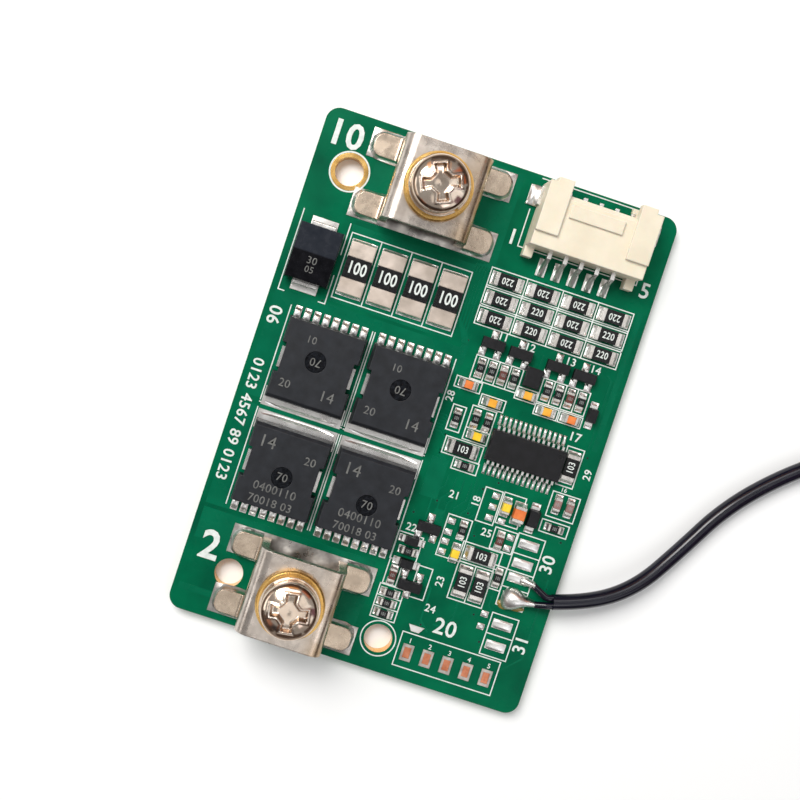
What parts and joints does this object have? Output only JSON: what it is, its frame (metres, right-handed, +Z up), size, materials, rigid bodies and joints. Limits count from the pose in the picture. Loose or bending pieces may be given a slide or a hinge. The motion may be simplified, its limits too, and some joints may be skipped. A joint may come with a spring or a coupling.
{
  "type": "battery management board",
  "caption": "Green circuit board with bridge screw terminals, power transistors, shunt resistors, a side-entry cell header and a soldered temperature sensor lead",
  "frame": {"origin": "underside of the board, at its middle", "axes": "+X across the board to the right, +Y along it to the header end, +Z up through the parts"},
  "size_m": [0.085, 0.064, 0.0127],
  "materials": {
    "board": "green solder mask, glossy",
    "gold": "gold plated copper",
    "tin": "dull tinned copper",
    "copper": "bare copper",
    "header": "cream moulded plastic",
    "tin_bright": "bright tin plate",
    "mould": "black moulding compound",
    "element": "black overglaze",
    "ends": "tinned ends",
    "ceramic_yellow": "yellow-brown ceramic",
    "ceramic_orange": "orange-brown ceramic",
    "solder": "bright solder",
    "cable": "black sleeve",
    "resin": "black resin",
    "bridge": "tin plated brass",
    "gold_plate": "yellow plated steel",
    "steel": "plated steel"
  },
  "bodies": {
    "root": {"balance_resistor_bodies": "element", "balance_resistor_ends": "ends", "circuit_board": "board", "component_pads": "tin", "controller_body": "mould", "controller_leads": "tin_bright", "header_anchors": "tin_bright", "header_housing": "header", "header_pins": "tin_bright", "hole_ring": "gold", "large_capacitor_bodies": "ceramic_orange", "large_capacitor_ends": "ends", "large_resistor_bodies": "element", "large_resistor_ends": "ends", "negative_bridge": "bridge", "negative_flat_washer": "gold_plate", "negative_screw": "steel", "negative_spring_washer": "steel", "positive_bridge": "bridge", "positive_flat_washer": "gold_plate", "positive_screw": "steel", "positive_spring_washer": "steel", "power_diode_body": "mould", "power_diode_tabs": "tin_bright", "power_pads": "tin", "sensor_cores": "cable", "sensor_joints": "solder", "sensor_pads": "tin", "sensor_sleeve": "cable", "sensor_tip": "resin", "shunt_elements": "element", "shunt_ends": "ends", "small_capacitor_bodies": "ceramic_yellow", "small_capacitor_ends": "ends", "small_diode_bodies": "mould", "small_diode_tabs": "tin_bright", "small_resistor_bodies": "element", "small_resistor_ends": "ends", "small_transistor_bodies": "mould", "small_transistor_leads": "tin_bright", "spare_pads": "tin", "square_chip": "mould", "terminal_pads": "tin", "test_pad_centres": "copper", "test_pads": "tin", "transistor_1_body": "mould", "transistor_1_leads": "tin_bright", "transistor_2_body": "mould", "transistor_2_leads": "tin_bright", "transistor_3_body": "mould", "transistor_3_leads": "tin_bright", "transistor_4_body": "mould", "transistor_4_leads": "tin_bright"}
  },
  "joints": []
}
